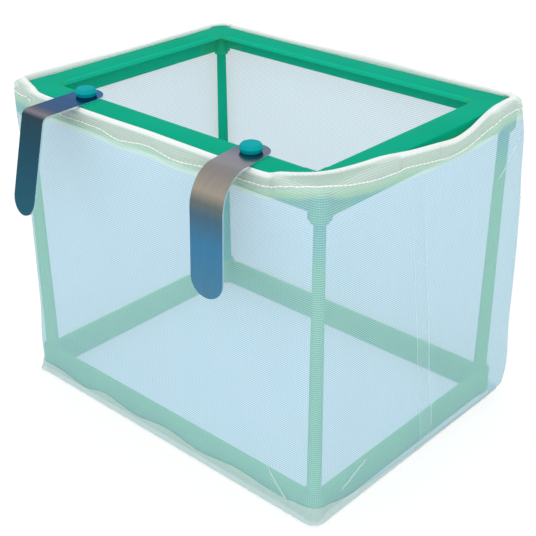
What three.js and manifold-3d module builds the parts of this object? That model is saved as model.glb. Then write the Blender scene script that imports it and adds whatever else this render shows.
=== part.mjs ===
// Fish breeding box: a green plastic frame inside a fine net bag, hung on a tank rim by two steel hangers.
// Millimetres. X runs along the long side, -Y is the hanger side, Z is up from the underside of the net floor.
import * as THREE from 'three';
import { mergeVertices } from 'three/addons/utils/BufferGeometryUtils.js';
import Module from 'manifold-3d';

const wasm = await Module();
wasm.setup();

// ---- overall sizes ----
const frameLength = 165;
const frameWidth = 121.5;
const frameHeight = 141;
const runningClearance = 0.05;
const seatClearance = 0.1;

// ---- upper frame section ----
const flangeWidth = 11.4;
const flangeThickness = 2;
const wallThickness = 2;
const longWallDepth = 9.5;
const shortWallDepth = 11.5;
const insideFillet = 1.2;
const edgeRound = 0.5;
const cornerLeg = 16.6;
const tongueLength = 7;
const tongueWidth = 5.6;
const tongueThickness = 1.2;

// ---- corner sockets and posts ----
const postInset = 2;
const postTopRadius = 2.2;
const postBottomRadius = 2.9;
const postChamfer = 0.4;
const earRadius = 4.3;
const collarRadius = 3.3;
const collarDepth = 13;
const collarLip = 0.5;
const flangeCornerRadius = 2;
const innerCornerRadius = 0.8;

// ---- lower frame section ----
const bandHeight = 13.5;
const bandThickness = 2;
const bandDraft = 0.25;
const bandRound = 0.6;
const bandLeg = 12;
const footBoreDepth = 6;
const dowelRadius = 0.5;
const dowelLength = 3;
const dowelHeightShares = [0.3, 0.72];
const footRound = 2.6;

// ---- net bag ----
const clothThickness = 0.4;
const floorThickness = 0.5;
const hemHeight = 5.5;
const elasticRadius = 0.5;
const hemDrop = seatClearance;
// The bag is tight on three corners and hangs slack at the back right one, by a share of the slack at each height.
const cornerSlack = 5.4;
const slackHeightShares = [0, 0.05, 0.33, 0.72, 0.94, 1];
const slackShares = [0, 0.8, 1, 0.83, 0.45, 0.27];

// ---- hangers and their pegs ----
const stripThickness = 0.7;
const stripWidth = 14.5;
const pegEdgeDistance = 2.65;
const pegLeftEnd = 34.2;
const pegRightEnd = 39.7;
const stemRadius = 1.45;
const pegHoleRadius = stemRadius + runningClearance;
const barbRadius = 1.95;
const barbLength = 2.6;
const barbTipRadius = 1.1;
const barbSlit = 0.6;
const headRadius = 4.45;
const headSeatRadius = 3.9;
const headCrownRadius = 3.5;
const headHeight = 3;
const headGirthShare = 0.5;
const headShoulderShare = 0.82;
// Turn: the strip's swivel from straight out. Slant: the bend line's, off square. Lean: the drop's, off plumb.
const leftStrip = { turn: 3.3, slant: -7.5, reach: 28.1, bend: 3.1, lean: 14.5, drop: 38.4 };
const rightStrip = { turn: 9, slant: -3, reach: 27.6, bend: 13.6, lean: 1.9, drop: 33.2 };

// ---- dependent sizes ----
const halfLength = frameLength / 2;
const halfWidth = frameWidth / 2;
const pegSetback = flangeWidth - pegEdgeDistance;
const pegLeftX = pegLeftEnd - halfLength;
const pegRightX = halfLength - pegRightEnd;
const hemInner = earRadius - postInset + seatClearance;
const casingGap = 2 * (elasticRadius + runningClearance);
const casingOuter = hemInner + 2 * clothThickness + casingGap;
const hemTop = floorThickness + frameHeight - hemDrop;
const wallHeight = hemTop - hemHeight;
const arcSteps = 18;
const weldDistance = 1e-4;

// ---- finishes ----
const finish = (color, roughness, metalness = 0, opacity = 1) => new THREE.MeshStandardMaterial({
  color, roughness, metalness, opacity, transparent: opacity < 1,
});
const finishes = {
  rail: () => finish('#07a983', 0.34),
  socket: () => finish('#1aa67b', 0.34),
  post: () => finish('#27a98a', 0.34),
  peg: () => finish('#0a9ba0', 0.28),
  steel: () => finish('#4a7f9f', 0.3, 0.9),
  net: () => finish('#c9dfee', 0.8, 0, 0.45),
  hem: () => finish('#dfe9e2', 0.82, 0, 0.8),
  elastic: () => finish('#f2f4f2', 0.7),
};

// ---- solids ----
function toSolid(geometry) {
  const plain = geometry.clone();
  plain.deleteAttribute('normal');
  plain.deleteAttribute('uv');
  const merged = mergeVertices(plain, weldDistance);
  return new wasm.Manifold(new wasm.Mesh({
    numProp: 3,
    vertProperties: new Float32Array(merged.attributes.position.array),
    triVerts: new Uint32Array(merged.index.array),
  }));
}

function toGeometry(solid) {
  const mesh = solid.getMesh();
  const geometry = new THREE.BufferGeometry();
  geometry.setAttribute('position', new THREE.BufferAttribute(new Float32Array(mesh.vertProperties), 3));
  geometry.setIndex(new THREE.BufferAttribute(new Uint32Array(mesh.triVerts), 1));
  geometry.computeVertexNormals();
  return geometry;
}

const union = (geometries) => geometries.map(toSolid).reduce((a, b) => a.add(b));
const cutAway = (solid, geometries) => geometries.map(toSolid).reduce((a, b) => a.subtract(b), solid);

// A plan outline raised from one height to another.
function prism(points, low, high) {
  const shape = new THREE.Shape(points.map(([x, y]) => new THREE.Vector2(x, y)));
  const geometry = new THREE.ExtrudeGeometry(shape, { depth: high - low, bevelEnabled: false, steps: 1 });
  return geometry.translate(0, 0, low);
}

// Points of an arc about (x, y), angles in quarter turns.
function arc(x, y, radius, from, to, steps = arcSteps / 3) {
  const points = [];
  for (let i = 0; i <= steps; i += 1) {
    const angle = (Math.PI / 2) * (from + ((to - from) * i) / steps);
    points.push([x + radius * Math.cos(angle), y + radius * Math.sin(angle)]);
  }
  return points;
}

const circle = (x, y, radius, steps) => arc(x, y, radius, 0, 4, steps).slice(0, -1);
const disc = (x, y, radius, low, high) => prism(circle(x, y, radius, arcSteps * 2), low, high);

// A closed turned solid from (radius, height) points that begin and end on the axis, lowest first.
function turned(profile) {
  const points = profile.map(([radius, height]) => new THREE.Vector2(radius, height));
  return new THREE.LatheGeometry(points, arcSteps * 2).rotateX(Math.PI / 2);
}

// A section drawn as (distance inwards, height), run along X and centred on it.
function bar(points, length) {
  const shape = new THREE.Shape(points.map(([a, b]) => new THREE.Vector2(a, b)));
  const geometry = new THREE.ExtrudeGeometry(shape, { depth: length, bevelEnabled: false, steps: 1 });
  geometry.translate(0, 0, -length / 2);
  const axes = [new THREE.Vector3(0, 1, 0), new THREE.Vector3(0, 0, 1), new THREE.Vector3(1, 0, 0)];
  return geometry.applyMatrix4(new THREE.Matrix4().makeBasis(...axes));
}

function mesh(name, geometry, material, [x, y, z] = [0, 0, 0]) {
  const made = new THREE.Mesh(geometry, material);
  made.name = name;
  made.position.set(x, y, z);
  return made;
}

// ---- groups: the frame stands in the bag, and each side and corner has a group of its own ----
const box = new THREE.Group();
const frame = new THREE.Group();
frame.position.z = floorThickness;
const bag = new THREE.Group();
box.add(frame, bag);

// A piece for a side is made along X with its outer face on Y = 0, as it lies at the front.
const sides = [
  { name: 'front', quarter: 0, away: halfWidth, length: frameLength },
  { name: 'right', quarter: 1, away: halfLength, length: frameWidth },
  { name: 'back', quarter: 2, away: halfWidth, length: frameLength },
  { name: 'left', quarter: 3, away: halfLength, length: frameWidth },
];
for (const side of sides) {
  side.group = new THREE.Group();
  side.group.rotation.z = (side.quarter * Math.PI) / 2;
  frame.add(side.group);
}

// A piece for a corner is made about its post's axis as it lies at the back, right-handed or left-handed,
// and half a turn carries it to the front.
const corners = [
  { name: 'front_left', x: -1, y: -1 },
  { name: 'front_right', x: 1, y: -1 },
  { name: 'back_left', x: -1, y: 1 },
  { name: 'back_right', x: 1, y: 1 },
];
for (const corner of corners) {
  corner.hand = corner.x * corner.y;
  corner.group = new THREE.Group();
  corner.group.position.set(corner.x * (halfLength - postInset), corner.y * (halfWidth - postInset), 0);
  corner.group.rotation.z = corner.y < 0 ? Math.PI : 0;
  frame.add(corner.group);
}

// ---- upper rails: a flange on a deep outer wall, filleted inside, from the flange's top down ----
function angleSection(depth) {
  return [
    [0, -depth],
    [wallThickness, -depth],
    ...arc(wallThickness + insideFillet, -flangeThickness - insideFillet, insideFillet, 2, 1),
    [flangeWidth, -flangeThickness],
    ...arc(flangeWidth - edgeRound, -edgeRound, edgeRound, 0, 1, 3),
    ...arc(edgeRound, -edgeRound, edgeRound, 1, 2, 3),
  ];
}

for (const side of sides) {
  const depth = side.length === frameLength ? longWallDepth : shortWallDepth;
  const section = bar(angleSection(depth), side.length - 2 * cornerLeg);
  const holes = side.name === 'front'
    ? [pegLeftX, pegRightX].map((x) => disc(x, pegSetback, pegHoleRadius, -flangeThickness - edgeRound, edgeRound))
    : [];
  const rail = toGeometry(cutAway(toSolid(section), holes));
  side.group.add(mesh(`upper_rail_${side.name}`, rail, finishes.rail(), [0, -side.away, frameHeight]));
}

// ---- upper corners: flange, two short walls, an outer ear, a hanging collar and two tongues ----
// Outlines are drawn as (distance inwards from the short side, distance inwards from the long side).
const atCorner = (points, hand) => points.map(([p, q]) => [hand * (postInset - p), postInset - q]);

function upperCorner(hand) {
  const at = (points) => atCorner(points, hand);
  const rectangle = (p0, p1, q0, q1) => at([[p0, q0], [p1, q0], [p1, q1], [p0, q1]]);
  const plate = at([
    ...arc(flangeCornerRadius, flangeCornerRadius, flangeCornerRadius, 2, 3),
    [cornerLeg, 0],
    [cornerLeg, flangeWidth],
    ...arc(flangeWidth + innerCornerRadius, flangeWidth + innerCornerRadius, innerCornerRadius, 3, 2),
    [flangeWidth, cornerLeg],
    [0, cornerLeg],
  ]);
  const longWall = rectangle(postInset, cornerLeg, 0, wallThickness);
  const shortWall = rectangle(0, wallThickness, postInset, cornerLeg);
  const inside = rectangle(wallThickness, cornerLeg, wallThickness, cornerLeg);
  const into = -flangeThickness / 2;
  const ear = cutAway(
    toSolid(disc(0, 0, earRadius, -shortWallDepth, -flangeThickness)),
    [prism(inside, -shortWallDepth - edgeRound, into)],
  );
  const body = union([
    prism(plate, -flangeThickness, 0),
    prism(longWall, -longWallDepth, into),
    prism(shortWall, -shortWallDepth, into),
    disc(0, 0, collarRadius, -collarDepth, into),
  ]).add(ear);
  const near = wallThickness + insideFillet + seatClearance;
  const far = near + tongueWidth;
  const root = cornerLeg - tongueLength;
  const lapLow = -flangeThickness - tongueThickness;
  const tongues = [
    prism(rectangle(root, cornerLeg - seatClearance, near, far), lapLow, into),
    prism(rectangle(root, cornerLeg + tongueLength, near, far), lapLow, -flangeThickness),
    prism(rectangle(near, far, root, cornerLeg - seatClearance), lapLow, into),
    prism(rectangle(near, far, root, cornerLeg + tongueLength), lapLow, -flangeThickness),
  ];
  const boreRadius = postTopRadius + seatClearance;
  const leadIn = turned([
    [0, -collarDepth - collarLip],
    [boreRadius + 2 * collarLip, -collarDepth - collarLip],
    [boreRadius, -collarDepth + collarLip],
    [0, -collarDepth + collarLip],
  ]);
  const bore = disc(0, 0, boreRadius, -collarDepth - collarLip, -flangeThickness);
  return toGeometry(cutAway(tongues.map(toSolid).reduce((a, b) => a.add(b), body), [bore, leadIn]));
}

for (const corner of corners) {
  const name = `upper_corner_${corner.name}`;
  corner.group.add(mesh(name, upperCorner(corner.hand), finishes.socket(), [0, 0, frameHeight]));
}

// ---- posts: tapered rods that stand in the lower bores and end under the upper flanges ----
const postFoot = bandHeight - footBoreDepth;
const postHeight = frameHeight - flangeThickness - postFoot;
const postProfile = [
  [0, 0],
  [postBottomRadius - postChamfer, 0],
  [postBottomRadius, postChamfer],
  [postBottomRadius, footBoreDepth],
  [postTopRadius, postHeight + flangeThickness - collarDepth],
  [postTopRadius, postHeight - postChamfer],
  [postTopRadius - postChamfer, postHeight],
  [0, postHeight],
];
for (const corner of corners) {
  const rod = toGeometry(toSolid(turned(postProfile)));
  corner.group.add(mesh(`post_${corner.name}`, rod, finishes.post(), [0, 0, postFoot]));
}

// ---- lower rails: a tall drafted band with a rounded top edge, pinned to its corners ----
const bandSection = [
  [0, 0],
  [bandThickness, 0],
  ...arc(bandThickness - bandDraft - bandRound, bandHeight - bandRound, bandRound, 0, 1, 4),
  ...arc(bandRound, bandHeight - bandRound, bandRound, 1, 2, 4),
];
const dowelHeights = dowelHeightShares.map((share) => share * bandHeight);

// A round pin along X, half way through a band whose outer face is on Y = 0.
function pin(radius, from, to, height) {
  const geometry = prism(circle(0, 0, radius, arcSteps), from, to).rotateY(Math.PI / 2);
  return geometry.translate(0, bandThickness / 2, height);
}

for (const side of sides) {
  const length = side.length - 2 * bandLeg;
  const end = length / 2;
  const hole = dowelRadius + runningClearance;
  const holes = dowelHeights.flatMap((height) => [
    pin(hole, end - dowelLength, end + dowelLength, height),
    pin(hole, -end - dowelLength, dowelLength - end, height),
  ]);
  const rail = toGeometry(cutAway(toSolid(bar(bandSection, length)), holes));
  side.group.add(mesh(`lower_rail_${side.name}`, rail, finishes.rail(), [0, -side.away, 0]));
}

// ---- lower corners: a round ear bored for the post, two short walls and the pins for the rails ----
function lowerCorner(hand) {
  const length = bandLeg - postInset;
  // A leg beside the post's axis along X, with its outer face on Y = 0, to either side.
  const leg = (way) => [
    bar(bandSection, length - postInset).translate((way * (length + postInset)) / 2, 0, 0),
    ...dowelHeights.map((height) => {
      const ends = [way * (length - dowelLength), way * (length + dowelLength - seatClearance)];
      return pin(dowelRadius, Math.min(...ends), Math.max(...ends), height);
    }),
  ];
  const back = leg(hand).map((geometry) => geometry.rotateZ(Math.PI).translate(0, postInset, 0));
  const end = leg(-hand).map((geometry) => geometry
    .rotateZ((hand * Math.PI) / 2)
    .translate(hand * postInset, 0, 0));
  const ear = turned([
    [0, 0],
    ...arc(earRadius - footRound, footRound, footRound, -1, 0, arcSteps / 6),
    [earRadius, bandHeight],
    [0, bandHeight],
  ]);
  const solid = union([ear, ...back, ...end]);
  const bore = disc(0, 0, postBottomRadius + seatClearance, postFoot, bandHeight + postChamfer);
  return toGeometry(cutAway(solid, [bore]));
}

for (const corner of corners) {
  corner.group.add(mesh(`lower_corner_${corner.name}`, lowerCorner(corner.hand), finishes.socket()));
}

// ---- net bag: all its round corners lie about the post axes ----
// A closed section of (distance outwards, height) points carried round the frame.
function ring(section) {
  const stations = [];
  const turns = arcSteps / 3;
  const order = [[1, 1, 0], [-1, 1, 1], [-1, -1, 2], [1, -1, 3]];
  for (const [sx, sy, quarter] of order) {
    for (let i = 0; i <= turns; i += 1) {
      const angle = (Math.PI / 2) * (quarter + i / turns);
      const centre = [sx * (halfLength - postInset), sy * (halfWidth - postInset)];
      stations.push([...centre, Math.cos(angle), Math.sin(angle)]);
    }
  }
  const vertices = [];
  for (const [x, y, cos, sin] of stations) {
    for (const [out, height] of section) {
      vertices.push(x + (postInset + out) * cos, y + (postInset + out) * sin, height);
    }
  }
  const index = [];
  const count = section.length;
  for (let i = 0; i < stations.length; i += 1) {
    const next = (i + 1) % stations.length;
    for (let j = 0; j < count; j += 1) {
      const after = (j + 1) % count;
      const [a, b, c, d] = [i * count + j, next * count + j, next * count + after, i * count + after];
      index.push(a, b, c, a, c, d);
    }
  }
  const geometry = new THREE.BufferGeometry();
  geometry.setAttribute('position', new THREE.Float32BufferAttribute(vertices, 3));
  geometry.setIndex(index);
  geometry.computeVertexNormals();
  return geometry;
}

// The casing is folded over the elastic: two plies that meet in a round top edge.
const foldOuter = (casingOuter - hemInner) / 2;
const foldInner = foldOuter - clothThickness;
const foldMiddle = (casingOuter + hemInner) / 2;
const foldHeight = hemHeight - foldOuter;
const casing = [
  [casingOuter, 0],
  ...arc(foldMiddle, foldHeight, foldOuter, 0, 2),
  [hemInner, 0],
  [hemInner + clothThickness, 0],
  ...arc(foldMiddle, foldHeight, foldInner, 2, 0),
  [casingOuter - clothThickness, 0],
];
bag.add(mesh('net_hem', ring(casing), finishes.hem(), [0, 0, wallHeight]));

const elasticHeight = hemTop - clothThickness - elasticRadius - runningClearance;
const elastic = ring(circle(foldMiddle, 0, elasticRadius, arcSteps / 2));
bag.add(mesh('elastic_cord', elastic, finishes.elastic(), [0, 0, elasticHeight]));

// Points round the bag's corners at a height, from one angle to another in quarter turns, at a cloth face.
function roundCorner([sx, sy], out, slack, from, to) {
  const shift = sx > 0 && sy > 0 ? slack : 0;
  const x = sx * (halfLength - postInset) + shift;
  const y = sy * (halfWidth - postInset) + shift;
  return arc(x, y, postInset + out, from, to, arcSteps / 6);
}

// A wall runs along its side and half way round the corner at each end, and leans out with the slack.
function netWall(quarter) {
  const order = [[-1, -1], [1, -1], [1, 1], [-1, 1]];
  const [near, far] = [order[quarter], order[(quarter + 1) % order.length]];
  const middle = quarter - 1;
  const levels = slackHeightShares.map((share, level) => {
    const slack = cornerSlack * slackShares[level];
    const face = (out) => [
      ...roundCorner(near, out, slack, middle - 0.5, middle),
      ...roundCorner(far, out, slack, middle, middle + 0.5),
    ];
    const outline = [...face(hemInner + clothThickness), ...face(hemInner).reverse()];
    return outline.map(([x, y]) => [x, y, share * wallHeight]);
  });
  const count = levels[0].length;
  const index = [];
  for (let level = 0; level + 1 < levels.length; level += 1) {
    for (let j = 0; j < count; j += 1) {
      const [a, b] = [level * count + j, level * count + ((j + 1) % count)];
      // Both faces of the cloth split along the same diagonal, so that it keeps its thickness where it leans.
      const outer = j < count / 2;
      index.push(a, b, outer ? b + count : a + count);
      index.push(outer ? a : b, b + count, a + count);
    }
  }
  const top = (levels.length - 1) * count;
  for (let j = 0; j + 1 < count / 2; j += 1) {
    const [a, b, c, d] = [j, j + 1, count - 2 - j, count - 1 - j];
    index.push(a, c, b, a, d, c, top + a, top + b, top + c, top + a, top + c, top + d);
  }
  const geometry = new THREE.BufferGeometry();
  geometry.setAttribute('position', new THREE.Float32BufferAttribute(levels.flat(2), 3));
  geometry.setIndex(index);
  geometry.computeVertexNormals();
  return geometry;
}

for (const { name, quarter } of sides) {
  bag.add(mesh(`net_wall_${name}`, netWall(quarter), finishes.net()));
}

const floorOutline = [[1, 1], [-1, 1], [-1, -1], [1, -1]]
  .flatMap((corner, quarter) => roundCorner(corner, hemInner, 0, quarter, quarter + 1));
bag.add(mesh('net_floor', prism(floorOutline, 0, floorThickness), finishes.net()));

// ---- hangers: round-ended strips, flat on the flange, bent down outside the net, made about their pegs ----
function hanger({ turn, slant, reach, bend, lean, drop }) {
  const degree = Math.PI / 180;
  const along = new THREE.Vector3(0, -1, 0);
  const across = new THREE.Vector3(Math.cos(slant * degree), Math.sin(slant * degree), 0);
  const up = new THREE.Vector3(0, 0, 1);
  const half = stripWidth / 2;
  const sweep = (90 - lean) * degree;
  const middle = bend - stripThickness / 2;
  const flat = half + reach - bend * Math.tan(sweep / 2);
  const bendLength = middle * sweep;
  const total = flat + bendLength + drop;

  // The middle line's place and upward normal at a length from the inner end.
  function lineAt(s) {
    const turned = Math.min(Math.max((s - flat) / middle, 0), sweep);
    const straight = Math.max(s - flat - bendLength, 0);
    const out = Math.min(s, flat) - half + middle * Math.sin(turned) + straight * Math.cos(turned);
    const down = middle * (1 - Math.cos(turned)) + straight * Math.sin(turned) - stripThickness / 2;
    return {
      point: new THREE.Vector3().addScaledVector(along, out).addScaledVector(up, -down),
      normal: up.clone().multiplyScalar(Math.cos(turned)).addScaledVector(along, Math.sin(turned)),
    };
  }

  // Close steps round both ends and along the bend.
  const lengths = [];
  const roundEnd = (i) => half * (1 - Math.cos((Math.PI / 2) * (i / arcSteps)));
  for (let i = 0; i <= arcSteps; i += 1) {
    lengths.push(roundEnd(i));
  }
  for (let i = 0; i <= arcSteps; i += 1) {
    lengths.push(flat + (bendLength * i) / arcSteps);
  }
  for (let i = arcSteps; i >= 0; i -= 1) {
    lengths.push(total - roundEnd(i));
  }
  const tip = stripThickness / 4;
  const vertices = [];
  for (const s of lengths) {
    const end = Math.min(s, total - s, half);
    const width = Math.max(Math.sqrt(Math.max(half * half - (half - end) ** 2, 0)), tip);
    const { point, normal } = lineAt(s);
    for (const [side, face] of [[-1, 1], [-1, -1], [1, -1], [1, 1]]) {
      const corner = point.clone()
        .addScaledVector(across, side * width)
        .addScaledVector(normal, (face * stripThickness) / 2);
      vertices.push(corner.x, corner.y, corner.z);
    }
  }
  const index = [];
  for (let i = 0; i + 1 < lengths.length; i += 1) {
    for (let j = 0; j < 4; j += 1) {
      const [a, b] = [i * 4 + j, i * 4 + ((j + 1) % 4)];
      index.push(a, b, b + 4, a, b + 4, a + 4);
    }
  }
  const last = (lengths.length - 1) * 4;
  index.push(0, 2, 1, 0, 3, 2, last, last + 1, last + 2, last, last + 2, last + 3);
  const geometry = new THREE.BufferGeometry();
  geometry.setAttribute('position', new THREE.Float32BufferAttribute(vertices, 3));
  geometry.setIndex(index);
  const hole = disc(0, 0, pegHoleRadius + runningClearance, -stripThickness, 2 * stripThickness);
  return toGeometry(cutAway(toSolid(geometry), [hole]));
}

// ---- pegs: a faceted round head on a split, barbed stem that snaps under the flange ----
function peg() {
  const headLow = stripThickness + runningClearance;
  const headTop = headLow + headHeight;
  const barbTop = -flangeThickness - runningClearance;
  const barbLow = barbTop - barbLength;
  const body = turned([
    [0, barbLow],
    [barbTipRadius, barbLow],
    [barbRadius, barbTop - barbLength / 3],
    [barbRadius, barbTop],
    [stemRadius, barbTop],
    [stemRadius, headLow],
    [headSeatRadius, headLow],
    [headRadius, headLow + headGirthShare * headHeight],
    [headRadius - edgeRound, headLow + headShoulderShare * headHeight],
    [headCrownRadius, headTop],
    [0, headTop],
  ]);
  const slitHeight = barbLength + 2 * edgeRound;
  const slit = new THREE.BoxGeometry(barbSlit, 2 * headRadius, slitHeight)
    .translate(0, 0, barbTop + edgeRound - slitHeight / 2);
  return toGeometry(cutAway(toSolid(body), [slit]));
}

for (const [name, x, strip] of [['left', pegLeftX, leftStrip], ['right', pegRightX, rightStrip]]) {
  const swivel = new THREE.Group();
  swivel.position.set(x, pegSetback - halfWidth, frameHeight);
  frame.add(swivel);
  const hanging = mesh(`hanger_${name}`, hanger(strip), finishes.steel());
  hanging.rotation.z = (strip.turn * Math.PI) / 180;
  swivel.add(hanging, mesh(`peg_${name}`, peg(), finishes.peg()));
}

export default box;
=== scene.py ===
# %% [markdown]
# # A fish breeding box in a net bag
# A small plastic frame stands in a bag of fine net and hangs in a tank from two steel strips, so
# that young fish are kept apart from the others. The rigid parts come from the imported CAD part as
# they are. This lesson gives them their finishes, and makes the cloth, which a CAD solid can only
# stand in for.

import math

import bmesh
import bpy
from mathutils import Matrix, Vector, noise


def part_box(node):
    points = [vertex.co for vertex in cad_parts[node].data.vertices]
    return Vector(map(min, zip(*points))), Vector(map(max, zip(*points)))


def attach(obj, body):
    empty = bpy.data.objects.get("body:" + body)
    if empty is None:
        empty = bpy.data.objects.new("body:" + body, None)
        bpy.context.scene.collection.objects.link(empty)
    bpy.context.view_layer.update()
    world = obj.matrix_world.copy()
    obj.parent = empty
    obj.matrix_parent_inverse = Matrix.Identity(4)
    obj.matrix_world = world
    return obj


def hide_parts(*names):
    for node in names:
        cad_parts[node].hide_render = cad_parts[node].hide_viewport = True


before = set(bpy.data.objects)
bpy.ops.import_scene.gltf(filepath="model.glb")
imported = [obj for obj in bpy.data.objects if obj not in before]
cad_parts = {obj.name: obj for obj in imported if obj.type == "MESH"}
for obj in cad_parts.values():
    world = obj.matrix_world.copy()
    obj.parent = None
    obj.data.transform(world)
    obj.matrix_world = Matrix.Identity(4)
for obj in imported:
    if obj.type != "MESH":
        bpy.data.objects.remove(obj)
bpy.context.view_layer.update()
MM = 0.001

# %% [markdown]
# ## The camera
# The box is seen from above its front right corner. A camera's matrix is four columns: the way to
# the right, the way up, the way back to the viewer, and its place. Writing the columns out from
# three angles keeps the picture's framing exact, where a Track To constraint would only point the
# lens at something.

# %% Camera
PICTURE = 536  # pixels
SENSOR = 36  # mm
AIM = Vector((0, 0, 141.5))  # mm, the middle of the frame's top
turn, rise, tilt = math.radians(42.19), math.radians(27.843), math.radians(-0.135)
focal = 1088.56  # pixels
distance, slide, lift = 446.45, 2.85, -72.414  # mm, from AIM along the camera's own three ways

back = Vector((math.sin(turn) * math.cos(rise), -math.cos(turn) * math.cos(rise),
               math.sin(rise)))
level = Vector((math.cos(turn), math.sin(turn), 0))
upward = back.cross(level)
right = math.cos(tilt) * level + math.sin(tilt) * upward
up = math.cos(tilt) * upward - math.sin(tilt) * level
eye = (AIM + back * distance + right * slide + up * lift) * MM

camera = bpy.data.objects.new("camera", bpy.data.cameras.new("camera"))
bpy.context.scene.collection.objects.link(camera)
camera.matrix_world = Matrix.Translation(eye) @ Matrix((right, up, back)).transposed().to_4x4()
camera.data.sensor_width = SENSOR
camera.data.lens = focal / PICTURE * SENSOR
camera.data.clip_start, camera.data.clip_end = 0.01, 20
bpy.context.scene.camera = camera
bpy.context.scene.view_settings.view_transform = "Standard"
print("lens:", round(camera.data.lens, 1), "mm, eye at", [round(c, 3) for c in eye])

# %% [markdown]
# ## Small helpers for materials
# Every finish here is a short node tree. Written out in full, such a tree is mostly the same few
# nodes again and again, so a helper makes each of those, and two more start a material with its
# Principled BSDF and a group with named sockets.

# %% Materials, groups and nodes
def plug(tree, node, values):
    """Sets inputs of a node; a value that is a socket is linked."""
    for name, value in values.items():
        if isinstance(value, bpy.types.NodeSocket):
            tree.links.new(value, node.inputs[name])
        else:
            node.inputs[name].default_value = value


def add(tree, kind, values=None, **settings):
    """A node of a kind, with its settings and its input values."""
    node = tree.nodes.new(kind)
    for name, setting in settings.items():
        setattr(node, name, setting)
    plug(tree, node, values or {})
    return node


def new_material(name):
    """A material with one Principled BSDF on its output; gives (material, tree, shader)."""
    material = bpy.data.materials.new(name)
    material.use_nodes = True
    tree = material.node_tree
    return material, tree, tree.nodes["Principled BSDF"]


def new_group(name, inputs, outputs):
    """A shader node group with sockets of {label: kind}; gives (group, comes in, goes out)."""
    group = bpy.data.node_groups.new(name, "ShaderNodeTree")
    for way, sockets in (("INPUT", inputs), ("OUTPUT", outputs)):
        for label, kind in sockets.items():
            group.interface.new_socket(label, in_out=way, socket_type="NodeSocket" + kind)
    return group, group.nodes.new("NodeGroupInput").outputs, group.nodes.new("NodeGroupOutput")


def colour(code):
    """A hex colour as the linear values that shaders work in."""
    parts = [int(code[i:i + 2], 16) / 255 for i in (1, 3, 5)]
    return (*[c / 12.92 if c <= 0.04045 else ((c + 0.055) / 1.055) ** 2.4 for c in parts], 1)


def grey(level):
    return (level, level, level, 1)


print("helpers for materials ready")

# %% [markdown]
# The nodes that come back most are noise, a step of arithmetic, a range that is mapped to another,
# a blend of two colours and a bump. Each helper gives the socket that the next node needs.

# %% The nodes used most
def speckle(tree, place, scale, detail, roughness=0.5):
    """A noise at a place; gives its outputs, Fac and Color."""
    return add(tree, "ShaderNodeTexNoise", {"Vector": place, "Scale": scale, "Detail": detail,
                                            "Roughness": roughness}).outputs


def maths(tree, operation, *values):
    return add(tree, "ShaderNodeMath", dict(enumerate(values)), operation=operation).outputs[0]


def ranged(tree, value, start, end, low=0.0, high=1.0, **settings):
    """Goes from low to high while the value goes from start to end."""
    return add(tree, "ShaderNodeMapRange", {"Value": value, "From Min": start, "From Max": end,
                                            "To Min": low, "To Max": high}, **settings).outputs[0]


def blended(tree, share, first, second, **settings):
    """The colour a share of the way from the first to the second."""
    return add(tree, "ShaderNodeMix", {0: share, 6: first, 7: second}, data_type="RGBA",
               **settings).outputs[2]


def bump(tree, height, strength, depth):
    return add(tree, "ShaderNodeBump", {"Height": height, "Strength": strength,
                                        "Distance": depth}).outputs[0]


print("helpers for nodes ready")

# %% [markdown]
# ## Light
# The box was pictured in flat, even studio light. A pale world gives most of it. Of three square
# lamps, a weak key stands at the upper left and a stronger, wider fill at the right. Both are
# hidden from mirrors, and only the small third one puts a glint on the pegs and the steel. A sky
# picture would light it too, but it would put shapes into the steel that aren't there.

# %% World and lamps
WORLD_LIGHT = 0.96  # strength of the world's light; the lens sees it at 1.0
BOX_MIDDLE, PEGS = (0, 0, 0.08), (0, -0.05, 0.14)  # metres, what the lamps look at


def seen_plainly(tree):
    """1 for rays from the lens, off a mirror or through a clear surface, and 0 for all others."""
    ray = add(tree, "ShaderNodeLightPath").outputs
    seen = maths(tree, "MAXIMUM", ray["Is Camera Ray"], ray["Is Glossy Ray"])
    return maths(tree, "MAXIMUM", seen, ray["Is Transmission Ray"])


world = bpy.data.worlds.new("studio")
world.use_nodes = True
bpy.context.scene.world = world
tree = world.node_tree
plug(tree, tree.nodes["Background"],
     {"Color": grey(1), "Strength": ranged(tree, seen_plainly(tree), 0.0, 1.0, WORLD_LIGHT, 1.0)})


def softbox(name, place, aim, size, power):
    """A square area lamp that looks at a point."""
    lamp = bpy.data.objects.new(name, bpy.data.lights.new(name, "AREA"))
    lamp.data.size, lamp.data.energy = size, power
    lamp.location = place
    lamp.rotation_euler = (Vector(place) - Vector(aim)).to_track_quat("Z", "Y").to_euler()
    bpy.context.scene.collection.objects.link(lamp)
    return lamp


key = softbox("key", (-0.5, -0.5, 0.95), BOX_MIDDLE, size=0.7, power=0.6)
fill = softbox("fill", (0.75, -0.85, 0.45), BOX_MIDDLE, size=0.9, power=2.5)
glint = softbox("glint", (0.35, -0.6, 0.8), PEGS, size=0.06, power=0.35)
key.visible_glossy = fill.visible_glossy = False
print("a pale world and the lamps", key.name, fill.name, glint.name)

# %% [markdown]
# ## The floor
# The box stands on white paper that runs into the background. Pure white emission would lose the
# shadow, and plain diffuse paper would look grey. So the lens sees a mix of both, through Light
# Path, while the box is lit by ordinary paper.

# %% Floor
FLOOR_HALF = 4  # metres
FLOOR_DROP = 0.0002  # metres, so that the floor doesn't touch the bag's net

sheet = bmesh.new()
bmesh.ops.create_grid(sheet, x_segments=1, y_segments=1, size=FLOOR_HALF)
bmesh.ops.translate(sheet, verts=sheet.verts, vec=(0, 0, -FLOOR_DROP))
floor = bpy.data.objects.new("floor", bpy.data.meshes.new("floor"))
sheet.to_mesh(floor.data)
sheet.free()
bpy.context.scene.collection.objects.link(floor)

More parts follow.
